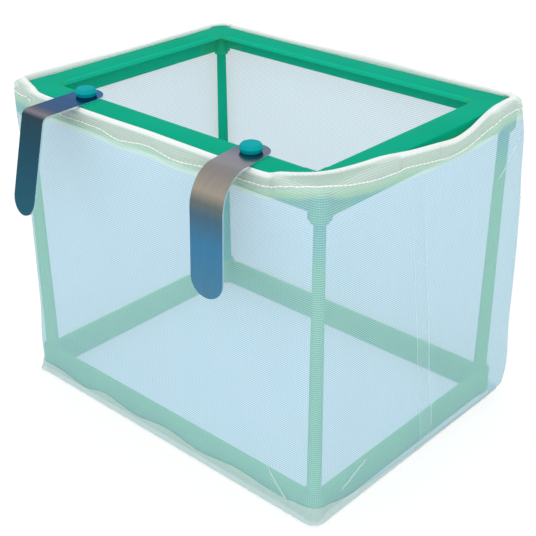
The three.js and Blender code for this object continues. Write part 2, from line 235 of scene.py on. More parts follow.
paper, tree, shader = new_material("studio_paper")
tree.nodes.remove(shader)
plain = add(tree, "ShaderNodeBsdfDiffuse", {"Color": grey(0.8)})
shade = add(tree, "ShaderNodeBsdfDiffuse", {"Color": grey(0.34)})
glow = add(tree, "ShaderNodeEmission", {"Color": grey(1), "Strength": 0.7})
white = add(tree, "ShaderNodeAddShader", {0: shade.outputs[0], 1: glow.outputs[0]})
mixed = add(tree, "ShaderNodeMixShader", {0: seen_plainly(tree), 1: plain.outputs[0],
                                          2: white.outputs[0]})
plug(tree, tree.nodes["Material Output"], {"Surface": mixed.outputs[0]})
floor.data.materials.append(paper)
print("a white floor,", 2 * FLOOR_HALF, "m wide")

# %% [markdown]
# ## A smooth finish for CAD solids
# A CAD solid arrives as loose triangles, so a bent strip or a round peg shows its flats. Its mesh
# is not to be changed, but a modifier may weld the triangles and shade the soft edges smooth, while
# edges sharper than a limit stay crisp. A geometry node group does both. On the steel, one small
# Bevel after it lets the edge catch light.

# %% Smoothing modifier
WELD = 1e-6  # metres
SOFT_EDGE, BEVELLED_EDGE = math.radians(34), math.radians(50)


def smoothing(limit):
    """A geometry node group that welds a CAD mesh and shades it smooth up to an edge angle."""
    group = bpy.data.node_groups.new("smooth_cad", "GeometryNodeTree")
    group.is_modifier = True
    for way in ("INPUT", "OUTPUT"):
        group.interface.new_socket("Geometry", in_out=way, socket_type="NodeSocketGeometry")
    start, end = group.nodes.new("NodeGroupInput"), group.nodes.new("NodeGroupOutput")
    bare = add(group, "GeometryNodeRemoveAttribute",
               {"Geometry": start.outputs[0], "Name": "custom_normal"})
    weld = add(group, "GeometryNodeMergeByDistance",
               {"Geometry": bare.outputs[0], "Distance": WELD})
    soft = add(group, "GeometryNodeSetShadeSmooth",
               {"Geometry": weld.outputs[0], "Shade Smooth": True}, domain="FACE")
    angle = add(group, "GeometryNodeInputMeshEdgeAngle")
    flat = add(group, "FunctionNodeCompare", {0: angle.outputs[0], 1: limit},
               data_type="FLOAT", operation="LESS_THAN")
    keep = add(group, "GeometryNodeSetShadeSmooth",
               {"Geometry": soft.outputs[0], "Shade Smooth": flat.outputs[0]}, domain="EDGE")
    group.links.new(keep.outputs[0], end.inputs[0])
    return group


smooth_cad = smoothing(SOFT_EDGE)


def finish(node, material, edge=0.0):
    """Gives a CAD node its material and its smooth shading, and a bevel where edge is set."""
    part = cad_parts[node]
    part.data.materials.clear()
    part.data.materials.append(material)
    part.modifiers.new("smooth", "NODES").node_group = smooth_cad
    if edge:
        bevel = part.modifiers.new("edge", "BEVEL")
        bevel.width, bevel.segments = edge, 2
        bevel.limit_method, bevel.angle_limit = "ANGLE", BEVELLED_EDGE
        bevel.harden_normals = True


print("smoothing group:", len(smooth_cad.nodes), "nodes")

# %% [markdown]
# ## Moulded plastic
# The rails, corners and posts are moulded in green polypropylene, a cloudy plastic whose colour
# drifts a little along each moulding. The other tones are painted light. What lies behind the net
# looks lighter than what lies bare, so a moulding gets a lighter tone at its foot and on its outer
# faces below the hem, for the net's haze over them. It also gets a lighter tone on its inner faces,
# which lifts the shade that falls there. One group mixes them from Object coordinates, with a fine
# grain, so they belong to the part. Painting them on each mesh would need a UV that the CAD solids
# don't have.

# %% Plastic group
DRIFT, SCUFF, GRAIN = 26.0, 140.0, 1900.0  # scales of the noises, broad to fine
TURNED = 0.01, 0.03  # how far a face has to look out, or in, for its own tone to start and end
UNDER_HEM = 0.1395, 0.1365  # metres, the heights at which the outer tone starts and is full

moulding, inside, outside = new_group(
    "moulding",
    {"Tone": "Color", "Second Tone": "Color", "Foot Tone": "Color", "Outer Tone": "Color",
     "Inner Tone": "Color", "Outer": "Float", "Foot From": "Float", "Foot To": "Float",
     "Roughness": "Float"},
    {"Color": "Color", "Roughness": "Float", "Normal": "Vector"})
place = add(moulding, "ShaderNodeTexCoord").outputs
height = add(moulding, "ShaderNodeSeparateXYZ", {0: place["Object"]}).outputs["Z"]

drift = ranged(moulding, speckle(moulding, place["Object"], DRIFT, 3.0)["Fac"], 0.35, 0.68)
tones = blended(moulding, drift, inside["Tone"], inside["Second Tone"])
# Painted light: the foot's lighter tone stands in for the haze of the net in front of it.
lower = ranged(moulding, height, inside["Foot From"], inside["Foot To"],
               interpolation_type="SMOOTHSTEP")
tones = blended(moulding, lower, tones, inside["Foot Tone"])

from_axis = add(moulding, "ShaderNodeVectorMath", {0: place["Object"], 1: (1, 1, 0)},
                operation="MULTIPLY").outputs[0]
facing_out = add(moulding, "ShaderNodeVectorMath", {0: place["Normal"], 1: from_axis},
                 operation="DOT_PRODUCT").outputs["Value"]
# Painted light: faces that look in get a lighter tone, which lifts the shade that falls on them.
inwards = ranged(moulding, facing_out, -TURNED[0], -TURNED[1], high=inside["Outer"])
tones = blended(moulding, inwards, tones, inside["Inner Tone"])
# Painted light: faces that look out, below the hem, get a lighter tone for the haze of the net in
# front of them.
outwards = ranged(moulding, facing_out, *TURNED, high=inside["Outer"])
outwards = maths(moulding, "MULTIPLY", outwards, ranged(moulding, height, *UNDER_HEM))
tones = blended(moulding, outwards, tones, inside["Outer Tone"])

scuff = speckle(moulding, place["Object"], SCUFF, 4.0, roughness=0.65)["Fac"]
wear = ranged(moulding, scuff, 0.3, 0.75, -0.06, 0.12)
grain = speckle(moulding, place["Object"], GRAIN, 2.0)["Fac"]
plug(moulding, outside, {"Color": tones, "Normal": bump(moulding, grain, 0.12, 0.0001),
                         "Roughness": maths(moulding, "ADD", inside["Roughness"], wear)})
print("moulding group:", len(moulding.nodes), "nodes")

# %% [markdown]
# The flange and the sockets lie bare and are a deep green. The posts and the lower rails are only
# ever seen through net, which dulls them, so they start out brighter and more yellow. That is
# painted light for the net's haze over them. The back left post shows through the open mouth and
# keeps the deep green, a little lighter than the rails'. That is painted light against the shade
# inside the bag. The pegs are a glossier teal.

# %% Plastics
def plastic(name, tone, second, roughness, coat=0.05, foot=None, painted_light_heights=(0.0, -0.01),
            outer=None, inner=None):
    """A moulded plastic of two close tones. The foot's tone comes in between the two heights of
    painted_light_heights, and the outer and inner ones on faces that look out and in. All three are
    painted light: the foot's and the outer tone stand in for the net's haze, and the inner one
    lifts shade."""
    material, tree, shader = new_material(name)
    tones = {"Tone": tone, "Second Tone": second, "Foot Tone": foot or tone,
             "Outer Tone": outer or tone, "Inner Tone": inner or tone}
    mix = add(tree, "ShaderNodeGroup", node_tree=moulding)
    plug(tree, mix, {label: colour(code) for label, code in tones.items()})
    plug(tree, mix, {"Outer": 1.0 if outer else 0.0, "Foot From": painted_light_heights[0], "Foot To": painted_light_heights[1],
                     "Roughness": roughness})
    plug(tree, shader, {"Base Color": mix.outputs["Color"], "Roughness": mix.outputs["Roughness"],
                        "Normal": mix.outputs["Normal"], "IOR": 1.49, "Specular IOR Level": 0.0,
                        "Coat Weight": coat, "Coat Roughness": 0.12})
    return material


# Painted light: the lighter foot, outer and inner tones here, and the brighter posts, lower rails
# and back left post, stand in for the net's haze and lift shade.
rail_green = plastic("rail_green", "#03a380", "#08a988", 0.4, outer="#2db46a", inner="#19ba95")
socket_green = plastic("socket_green", "#04a380", "#0aa988", 0.42, foot="#2fb184",
                       painted_light_heights=(0.1325, 0.1300), outer="#52bb62", inner="#2bbd90")
shaded_green = plastic("shaded_green", "#0bb08a", "#14b691", 0.4)
post_green = plastic("post_green", "#12a987", "#1cb08c", 0.4, foot="#78ca5a",
                     painted_light_heights=(0.13, 0.108))
base_green = plastic("base_green", "#70c658", "#7ecd62", 0.42)
peg_teal = plastic("peg_teal", "#00999f", "#04a6aa", 0.22, coat=0.1)

# A node takes the plastic of the first word here that is in its name.
PLASTICS = [("lower", base_green), ("post_back_left", shaded_green), ("rail", rail_green),
            ("corner", socket_green), ("post", post_green), ("peg", peg_teal)]
moulded = 0
for node in sorted(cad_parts):
    found = [material for word, material in PLASTICS if word in node]
    if found:
        finish(node, found[0])
        moulded += 1
print("plastic on", moulded, "CAD nodes")

# %% [markdown]
# ## Blued steel
# Each hanger is a strip of polished steel with a blue cast. A metal's colour is its Base Color, so
# a ramp along the strip tints it. The ramp holds the steel's blue, with painted reflection in its
# darker and lighter blues, and a painted highlight, grey to warm straw, where the bend catches the
# light.
# Fine noise, drawn out along the strip, gives the brushed grain. Real reflections would need the
# room that the box was pictured in.

# %% Steel
LOW, HIGH = 50, 120  # mm, the ends of the ramp
# Painted highlight: a bright tone laid on the strip's faces that look aside, by how far they do.
EDGE_HIGHLIGHT_TONE, EDGE_HIGHLIGHT_FROM, EDGE_HIGHLIGHT_TO = "#d4e6ea", 0.55, 0.75  # the bright cut edge, by how far it looks aside
STRIP_EDGE = 0.00012  # metres


def steel(name, tones_and_highlights, rim=1.0):
    """Blued steel: tones along the strip, over its height plus half its depth in mm, under brushed
    grain. The tones are the steel's blue with painted reflection, and a painted highlight at the
    bend.
    A rim below 1 keeps the tone deep where the strip is seen at a low angle."""
    material, tree, shader = new_material(name)
    place = add(tree, "ShaderNodeTexCoord").outputs
    spot = add(tree, "ShaderNodeSeparateXYZ", {0: place["Object"]}).outputs
    run = maths(tree, "MULTIPLY_ADD", spot["Y"], 0.5, spot["Z"])
    ramp = add(tree, "ShaderNodeValToRGB", {0: ranged(tree, run, LOW * MM, HIGH * MM)})
    while len(ramp.color_ramp.elements) < len(tones_and_highlights):
        ramp.color_ramp.elements.new(0.5)
    for element, (z, tone) in zip(ramp.color_ramp.elements, tones_and_highlights):
        element.position, element.color = (z - LOW) / (HIGH - LOW), colour(tone)

    longwise = add(tree, "ShaderNodeMapping", {"Vector": place["Object"],
                                               "Scale": (900, 120, 120)})
    brush = speckle(tree, longwise.outputs[0], 1.0, 3.0)["Fac"]
    tone = blended(tree, 1.0, ramp.outputs[0], ranged(tree, brush, 0.0, 1.0, 0.9, 1.1),
                   blend_type="MULTIPLY")
    # Painted highlight: the bright tone on the faces that look aside.
    aside = add(tree, "ShaderNodeSeparateXYZ", {0: place["Normal"]}).outputs["X"]
    painted_edge_highlight = ranged(tree, maths(tree, "ABSOLUTE", aside), EDGE_HIGHLIGHT_FROM, EDGE_HIGHLIGHT_TO)
    plug(tree, shader, {"Base Color": blended(tree, painted_edge_highlight, tone, colour(EDGE_HIGHLIGHT_TONE)),
                        "Roughness": ranged(tree, brush, 0.0, 1.0, 0.17, 0.27),
                        "Normal": bump(tree, brush, 0.08, 0.00005),
                        "Metallic": 1.0, "Specular Tint": grey(rim)})
    return material


# Painted highlight: the grey to straw tones at the fold, from 103 to 106 mm; the blues round them
# carry painted reflection too.
left_steel = steel("steel_left", [
    (56, "#2a5e72"), (88, "#264f62"), (101, "#2f4854"), (103, "#8d8490"),
    (104.4, "#6a6c80"), (106, "#3a5c88"), (112, "#265d92"), (117, "#256ea4")], rim=0.6)
# Painted highlight: the grey to straw tones over the bend, from 92 to 112 mm; the blues round them
# carry painted reflection too.
right_steel = steel("steel_right", [
    (56, "#4c7f9c"), (76, "#3f7a9f"), (87, "#49697c"), (92, "#66706f"),
    (97, "#a39a8d"), (105, "#8b8784"), (112, "#7e7d8a"), (115.5, "#565f7a")])
finish("hanger_left", left_steel, STRIP_EDGE)
finish("hanger_right", right_steel, STRIP_EDGE)
print("steel on both hangers:", left_steel.name, right_steel.name)

# %% [markdown]
# ## Where the bag runs
# The bag wraps the frame in one closed path: along each side and round each post. Distance along
# that path is the cloth's own width, so it can serve as the weave's first coordinate. The path
# starts at the bag's seam, on the right side, and runs anticlockwise.

# %% The bag's path
def centre(node):
    """The middle of a CAD node's box, in millimetres."""
    low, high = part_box(node)
    return (low + high) / 2 / MM


post = centre("post_back_right")
POST_X, POST_Y = post.x, post.y
POSTS = [(POST_X, POST_Y), (-POST_X, POST_Y), (-POST_X, -POST_Y), (POST_X, -POST_Y)]
TURN = 4.6  # mm, the cloth's radius round a post
SEAM_Y = 2.0  # mm
corner_arc = math.pi / 2 * TURN
legs = [POST_Y - SEAM_Y, corner_arc, 2 * POST_X, corner_arc, 2 * POST_Y, corner_arc,
        2 * POST_X, corner_arc, POST_Y + SEAM_Y]
AROUND = sum(legs)
starts = [sum(legs[:i]) for i in range(len(legs) + 1)]
RIGHT_FAR, RIGHT_NEAR = 0, 8  # the right side's two legs, beyond the seam and before it
LEG = {"back_right": 1, "back": 2, "back_left": 3, "left": 4, "front_left": 5, "front": 6,
       "front_right": 7, "right": RIGHT_NEAR}


def along(side, at):
    """Distance round the bag to a place on a side, given by x or y in millimetres, or on a corner,
    given by the share of its turn."""
    start = starts[LEG[side]]
    if side == "right":
        return at - SEAM_Y if at >= SEAM_Y else start + at + POST_Y
    if side == "front":
        return start + at + POST_X
    if side == "back":
        return start + POST_X - at
    if side == "left":
        return start + POST_Y - at
    return start + corner_arc * at


def keys_round(table):
    """Keys written as {side: [(place, value), ...]}, in the order of their distance round."""
    return sorted((along(side, at), value) for side, keys in table.items() for at, value in keys)


print("the bag is", round(AROUND, 1), "mm round")

# %% [markdown]
# The shape of the cloth is given here by measures at its turning points, such as the mouth's place
# wherever it changes course. A smooth curve through such keys needs no simulation, and gives the
# same cloth in each run.

# %% Smooth curves through keys
TINY = 1e-9  # keeps a division off zero


def smooth_step(t):
    """From 0 to 1 with level ends."""
    t = min(max(t, 0.0), 1.0)
    return t * t * (3 - 2 * t)


def keyed(keys, at, closed=0.0):
    """A smooth value through (place, value) keys, where a value may be a Vector. For a loop,
    closed is its length."""
    n = len(keys)
    here = at + closed if closed and at < keys[0][0] else at
    for i in range(n if closed else n - 1):
        a, b = keys[i], keys[(i + 1) % n]
        end = b[0] + (closed if i == n - 1 else 0)
        if a[0] <= here <= end:
            before = keys[(i - 1) % n] if closed or i else a
            after = keys[(i + 2) % n] if closed or i < n - 2 else b
            span = end - a[0]
            t = (here - a[0]) / max(span, TINY)
            gap_a = (a[0] - before[0]) % closed if closed else a[0] - before[0]
            gap_b = (after[0] - b[0]) % closed if closed else after[0] - b[0]
            slope_a = (b[1] - before[1]) * (span / max(span + gap_a, TINY))
            slope_b = (after[1] - a[1]) * (span / max(span + gap_b, TINY))
            return (a[1] * (1 + 2 * t) * (1 - t) ** 2 + slope_a * t * (1 - t) ** 2
                    + b[1] * t * t * (3 - 2 * t) + slope_b * t * t * (t - 1))
    return keys[0][1] if at < keys[0][0] else keys[-1][1]


print("half way up a smooth step:", smooth_step(0.5))

# %% [markdown]
# The net is tight round three posts and hangs slack off the back right one. It clings to the posts
# between their sockets, where they are slimmer, and stands out in a small ear at the front left
# foot. One function gives the cloth's place from the distance round and the height, and everything
# sewn to the bag is laid with it, so that nothing can come away from the wall.

# %% A place on the bag
HUG, HUG_LOW, HUG_HIGH, HUG_FADE = 1.2, 14, 130, 24  # mm: how much closer, and between what heights
EAR_REACH, EAR_HEIGHT = 2.2, 9.0  # mm
SLACK = [(0, 0.0), (6.8, 4.3), (44.8, 5.4), (97.8, 4.5), (127.7, 2.4), (136, 1.4), (142, 0.6)]
BACK_RIGHT, FRONT_LEFT = 0, 2  # posts
RIGHT_SIDE, BACK_SIDE = 0, 1  # sides, each of which ends at the post of its number


def on_bag(u, z, out=0.0):
    """The bag's place at a distance round it and a height, moved outwards by out, in mm; gives
    (point, outward)."""
    u = u % AROUND
    slack = keyed(SLACK, z)
    out -= HUG * smooth_step((z - HUG_LOW) / HUG_FADE) * smooth_step((HUG_HIGH - z) / HUG_FADE)
    leg = max(i for i in range(len(legs)) if starts[i] <= u + TINY)
    t = (u - starts[leg]) / legs[leg]
    if leg % 2:
        k = leg // 2
        angle = math.pi / 2 * (k + t)
        normal = Vector((math.cos(angle), math.sin(angle), 0))
        x, y = POSTS[k]
        shift = slack if k == BACK_RIGHT else 0.0
        if k == FRONT_LEFT and z < EAR_HEIGHT:
            out += EAR_REACH * (1 - z / EAR_HEIGHT) ** 2 * math.sin(math.pi * t) ** 2
        return Vector((x + shift, y + shift, z)) + normal * (TURN + out), normal
    k = leg // 2 % 4
    angle = math.pi / 2 * k
    normal = Vector((math.cos(angle), math.sin(angle), 0))
    near, far = Vector((*POSTS[k - 1], z)), Vector((*POSTS[k], z))
    if k == RIGHT_SIDE:
        y = SEAM_Y + t * legs[RIGHT_FAR] if leg == RIGHT_FAR else -POST_Y + t * legs[RIGHT_NEAR]
        t = (y + POST_Y) / (2 * POST_Y)
        far += Vector((slack, slack, 0))
    if k == BACK_SIDE:
        near += Vector((slack, slack, 0))
    return near.lerp(far, t) + normal * (TURN + out), normal


print("slack at the back right, mm:", [out for height, out in SLACK])

# %% [markdown]
# ## The elastic and the top of the bag
# An elastic cord pulls the mouth of the bag in over the frame. It crosses the corners on top of the
# flange, dips under the hangers and sags off the right side. Its line is given as places on the
# path, each with a point in space. The casing that holds it is a strip of changing height below.

# %% The mouth's line
TOP = 142.25  # mm, where the elastic lies on the flange
ELASTIC = 0.6  # mm, the elastic's radius
MOUTH = [(u, Vector(point)) for u, point in keys_round({
    "right": [(13, (86.6, 12.6, 139.3)), (23, (86.3, 22.5, 140.1)), (33, (85.2, 32, 141.7)),
              (44, (83.0, 43.5, TOP)), (54, (82.2, 53.5, TOP)), (-50, (77.0, -46.2, TOP)),
              (-38, (79.6, -36.5, TOP)), (-26, (81.6, -26.0, TOP)), (-14, (84.8, -14.5, 141.7)),
              (0, (86.2, 0, 140.5))],
    "back_right": [(0.5, (81.2, 60.4, TOP))],
    "back": [(73, (73, 62.6, 142.1)), (45, (45, 63.4, 141.8)), (8, (8, 65.6, 141.6)),
             (-35, (-35, 63.4, 141.6)), (-72, (-72, 62.8, 141.9))],
    "back_left": [(0.5, (-82.2, 60.6, 142.1))],
    "left": [(45, (-84.8, 45, 141.8)), (0, (-85.0, 0, 141.6)), (-36, (-86.2, -36, 142.0)),
             (-54, (-85.9, -53.8, TOP))],
    "front_left": [(0.5, (-81.6, -56.9, TOP))],
    "front": [(-77, (-76.4, -59.0, TOP)), (-73, (-72.2, -60.3, 141.9)),
              (-68, (-67.2, -61.5, 140.8)), (-46, (-46, -61.7, 140.6)),
              (-24, (-24, -61.8, 140.7)), (0, (0, -62.9, 141.6)), (22, (22, -61.8, 140.8)),
              (46, (46, -61.7, 140.6)), (60, (59.5, -61.5, 140.8)), (65, (63.8, -60.7, 142.1)),
              (73, (68.7, -57.4, TOP))],
    "front_right": [(0.5, (73.6, -52.6, TOP))],
})]
CASING = keys_round({
    "right": [(13, 6.4), (40, 6.2), (-45, 8.7), (-38, 8.4), (-30, 8.0), (-26, 8.1), (-22.5, 7.9),
              (-20, 6.3), (-18, 5.7), (-14, 5.6), (6, 6.6)],
    "back_right": [(0.5, 6.4)],
    "back": [(0, 5.8)],
    "left": [(0, 5.8)],
    "front_left": [(0.3, 7.0)],
    "front": [(-62, 5.2), (-28, 5.0), (-17, 6.8), (0, 5.4), (14, 6.8), (30, 5.2), (60, 4.2),
              (62, 4.2), (63, 5.0), (64.2, 6.0), (67.5, 6.1), (71, 6.8), (75, 8.4)],
    "front_right": [(0.5, 10.6)],
})


def mouth(u):
    return keyed(MOUTH, u % AROUND, AROUND)


print("keys of the mouth:", len(MOUTH), "and of the casing:", len(CASING))

# %% [markdown]
# Where the elastic lies on the flange, the cloth can't run straight up to it, or the flange's edge
# would come through. It goes up outside the edge and turns in over it. Where the elastic hangs
# outside, the cloth runs straight. How far the mouth is in over the edge decides between the two.

# %% From the wall's top to the elastic
EDGE_X, EDGE_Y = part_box("upper_rail_right")[1].x / MM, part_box("upper_rail_back")[1].y / MM
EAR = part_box("upper_corner_back_right")[1].x / MM - POST_X
FLANGE_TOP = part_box("upper_corner_back_right")[1].z / MM
WALL_TOP = 131.0  # mm, where the wall ends and the hem starts
NEARING = 1.6  # mm outside the edge at which the cloth starts to turn in
RISE_FROM, RISE = 141.0, 0.9  # mm of height over which the mouth comes up on the flange
BELOW_EDGE, ABOVE_EDGE, SET_IN = 1.8, 0.5, 1.7  # mm, the cloth's way round the flange's edge


def crossing(top):
    """How far in over the flange's edge a point of the mouth lies, and the share to which its
    cloth runs on top."""
    depth = max(min(EDGE_X - abs(top.x), EDGE_Y - abs(top.y)),
                EAR - math.hypot(abs(top.x) - POST_X, abs(top.y) - POST_Y))
    return depth, (smooth_step((depth + NEARING) / NEARING)
                   * smooth_step((top.z - RISE_FROM) / RISE))


def hem_path(u):
    """Points from the wall's top, round the flange's edge where the cloth crosses it, to the
    elastic, and the way outwards."""
    low, normal = on_bag(u, WALL_TOP)
    top = mouth(u)
    depth, over = crossing(top)
    shoulder = on_bag(u, FLANGE_TOP - BELOW_EDGE)[0]
    edge = on_bag(u, FLANGE_TOP + ABOVE_EDGE, -SET_IN * smooth_step((depth - 0.2) / 2))[0]
    return [low, low.lerp(top, 0.5).lerp(shoulder, over), low.lerp(top, 0.8).lerp(edge, over),
            top], normal


print("flange edge at", round(EDGE_X, 2), round(EDGE_Y, 2), "top at", round(FLANGE_TOP, 2))

# %% [markdown]
# ## The net's material
# The net is woven so finely that it reads as a pale blue haze, with the threads showing only over
# the green. Threads of real geometry would be millions of faces. The weave is drawn in the cloth's
# own UV, in metres, so it follows every fold, and a little noise keeps its lines from being ruled.

# %% Weave group
PITCH = 0.0009  # metres from thread to thread
THREAD = 0.34  # a thread's half width, as a share of the pitch
UPRIGHT = 0.5  # strength of the upright threads against the level ones
WANDER = 0.0006  # metres

weave, inside, outside = new_group("weave", {"Vector": "Vector"}, {"Mask": "Float"})
wander = add(weave, "ShaderNodeVectorMath",
             {0: speckle(weave, inside["Vector"], 60.0, 1.0)["Color"], 1: (WANDER, WANDER, 0)},
             operation="MULTIPLY").outputs[0]
strayed = add(weave, "ShaderNodeVectorMath", {0: inside["Vector"], 1: wander},
              operation="ADD").outputs[0]
split = add(weave, "ShaderNodeSeparateXYZ", {0: strayed}).outputs
lines = []
for axis in ("X", "Y"):
    count = maths(weave, "DIVIDE", split[axis], PITCH)
    lines.append(ranged(weave, maths(weave, "PINGPONG", count, 0.5), THREAD, 0.0,
                        interpolation_type="SMOOTHSTEP"))
upright = maths(weave, "MULTIPLY", lines[0], UPRIGHT)
plug(weave, outside, {"Mask": maths(weave, "MAXIMUM", upright, lines[1])})
print("weave group:", len(weave.nodes), "nodes")

# %% [markdown]
# Alpha lets the background through, more in a hole than on a thread, and not all of it even in a
# hole, because that holds some fuzz too. The blue of the hole and the paler thread look alike over
# white and part over green. The hem is whiter, as two plies lie together there. The mesh carries
# each vertex's distance to the elastic and to the stitches, and the material goes by these.

# %% Net materials
def net(name, tones, hole, thread, zones=()):
    """Sheer woven net, with a tone and an alpha for its holes and for its threads. A zone is (the
    mark on the mesh, where it is full, where it ends, its tone, its hole and thread alphas)."""
    material, tree, shader = new_material(name)
    cloth = add(tree, "ShaderNodeUVMap", uv_map="UVMap").outputs[0]
    mask = add(tree, "ShaderNodeGroup", {"Vector": cloth}, node_tree=weave).outputs["Mask"]
    alpha = ranged(tree, mask, 0.0, 1.0, hole, thread)
    uneven = maths(tree, "MULTIPLY_ADD", speckle(tree, cloth, 40.0, 2.0)["Fac"], 0.3, mask)
    shade = blended(tree, uneven, colour(tones[0]), colour(tones[1]))
    for label, full, none, white, low, high in zones:
        mark = add(tree, "ShaderNodeAttribute", attribute_name=label).outputs["Fac"]
        share = ranged(tree, mark, none, full)
        own = ranged(tree, mask, 0.0, 1.0, low, high)
        shade = blended(tree, share, shade, colour(white))
        alpha = add(tree, "ShaderNodeMix", {0: share, 2: alpha, 3: own}).outputs[0]
    plug(tree, shader, {"Base Color": shade, "Alpha": alpha,
                        "Normal": bump(tree, mask, 0.3, 0.0001),
                        "Roughness": 0.75, "Sheen Weight": 0.05, "Specular IOR Level": 0.1})
    return material


BLUE = ("#9fd3ec", "#bfe2f4")
net_blue = net("net_blue", BLUE, 0.36, 0.54)
net_hemmed = net("net_hemmed", BLUE, 0.44, 0.65, zones=[
    ("from_stitch", 3.6, 5.2, "#c8eadb", 0.56, 0.78),
    ("from_stitch", 0.2, 1.0, "#dbede5", 0.52, 0.74),
    ("from_elastic", 0.6, 1.6, "#f4faf9", 0.85, 0.97)])
net_lap = net("net_lap", ("#c4e4ee", "#d0ebf4"), 0.08, 0.2)
net_seam_white = net("net_seam_white", ("#dceeea", "#e2f3ee"), 0.42, 0.54)
net_crease = net("net_crease", ("#dcf0f0", "#e4f5f5"), 0.3, 0.36)
print("nets:", *[m.name for m in (net_blue, net_hemmed, net_lap, net_seam_white, net_crease)])

# %% [markdown]
# ## Cloth from a flat grid
# Each piece of the bag was cut from flat net. So each begins as a flat grid, whose columns are laid
# one by one where the cloth runs, and the lengths along them become its UV. The weave then keeps
# its real size, which unwrapping a finished shape would not promise.

# %% Grids of cloth
def made(name, cloth, material):
    """The finished mesh as a smooth object of the scene, at the origin."""
    for face in cloth.faces:
        face.smooth = True
    piece = bpy.data.objects.new(name, bpy.data.meshes.new(name))
    cloth.to_mesh(piece.data)
    cloth.free()
    piece.data.materials.append(material)
    bpy.context.scene.collection.objects.link(piece)
    print(name, len(piece.data.polygons), "faces")
    return piece


def lengths_along(points):
    """The distance from the first point to each one, along the line through them."""
    lengths = [0.0]
    for a, b in zip(points, points[1:]):
        lengths.append(lengths[-1] + (b - a).length)
    return lengths


def laid(name, columns, rows, shape, material, width, marks=()):
    """A grid of cloth whose column at u, from 0 to width, is the list of points shape(u). With
    marks named, shape(u) also gives a list of values for each, kept on the vertices."""
    cloth = bmesh.new()
    uv = cloth.loops.layers.uv.new("UVMap")
    bmesh.ops.create_grid(cloth, x_segments=columns, y_segments=rows, size=1)
    layers = [cloth.verts.layers.float.new(mark) for mark in marks]
    shapes, places = {}, {}
    for vert in cloth.verts:
        i = round((vert.co.x + 1) / 2 * columns)
        j = round((vert.co.y + 1) / 2 * rows)
        u = width * i / columns
        if i not in shapes:
            points, *values = shape(u) if marks else (shape(u),)
            shapes[i] = points, lengths_along(points), values
        points, lengths, values = shapes[i]
        for layer, column in zip(layers, values):
            vert[layer] = column[j]
        vert.co = points[j] * MM
        places[vert] = (u * MM, lengths[j] * MM)
    for face in cloth.faces:
        for loop in face.loops:
            loop[uv].uv = places[loop.vert]
    return made(name, cloth, material)


def ripple(u, z, strength):
    """A shallow, lasting unevenness of the cloth, in broad waves with finer ones on them."""
    return strength * noise.noise(Vector((u / 17, z / 60, 3.1))) + 0.4 * strength * noise.noise(
        Vector((u / 5, z / 31, 7.7)))


RIPPLE = 0.35  # mm
print("ripples of up to", RIPPLE, "mm")

# %% [markdown]
# ## The wall of the bag
# The wall is one strip of net, wrapped once round the frame with its cut edges meeting at the seam.
# Each column is laid up the frame: straight to the flange, over its edge where the elastic pulls it
# in, round the elastic, and back down inside as the casing's second ply. The hem's part of it is a
# line of even steps, from which the two plies swell apart.

# %% The hem's line
WALL_ROWS, HEM_ROWS, FOLD_ROWS, PLY_ROWS = 40, 14, 4, 8


def resample(points, count):
    """Points at even steps along a line whose corners are rounded off, and its length."""
    rounded = [points[0]]
    for a, b, c in zip(points, points[1:], points[2:]):
        rounded += [b.lerp(a, 0.35), b.lerp(a, 0.12).lerp(b.lerp(c, 0.12), 0.5), b.lerp(c, 0.35)]
    rounded.append(points[-1])
    lengths = lengths_along(rounded)
    out = []
    for k in range(count):
        target, i = lengths[-1] * k / (count - 1), 0
        while i < len(rounded) - 2 and lengths[i + 1] < target:
            i += 1
        t = (target - lengths[i]) / max(lengths[i + 1] - lengths[i], TINY)
        out.append(rounded[i].lerp(rounded[i + 1], t))
    return out, lengths[-1]


def hem_line(u):
    """The hem's points from the wall to the elastic, the step between them, the casing's height
    and the way outwards."""
    path, normal = hem_path(u)
    points, length = resample(path, HEM_ROWS + 1)
    return points, length / HEM_ROWS, keyed(CASING, u % AROUND, AROUND), normal


def facing(points, k, normal):
    """The upward and outward normal of a column's points at index k."""
    way = points[min(k + 1, len(points) - 1)] - points[max(k - 1, 0)]
    tangent = Vector((-normal.y, normal.x, 0))
    face = way.cross(tangent).normalized()
    return face if face.dot(normal) + face.z > 0 else -face


def between(points, spot):
    """The point at a spot of a list, where a part of 1 lies between two points."""
    i = min(int(spot), len(points) - 2)
    return points[i].lerp(points[i + 1], spot - i)


print("hem step at the front's middle:", round(hem_line(along("front", 0))[1], 2), "mm")

# %% [markdown]
# Close to the foot the net is held by its seam, so its ripples fade out there. In the casing both
# plies stand off the line by the elastic's radius, and small gathers run round, as elastic draws
# them in. Over the flange the casing lies flat, and its bright rim is broader.

# %% Wall of net
CUT_GAP = 0.02  # mm between the wall's cut edges at the seam
FOOT = 0.2  # mm, the height of the lowest row
ROUND_ELASTIC = ELASTIC + 0.15  # mm, the casing's radius
PLY_GAP = 0.14  # mm between the two plies outside the casing
PLY_BEYOND = 2.6  # mm by which the inner ply reaches below the stitches
GATHER, GATHERS = 0.12, 2.4  # mm, and radians per mm round
FAR_BELOW = 50.0  # mm, the mark of the wall's rows


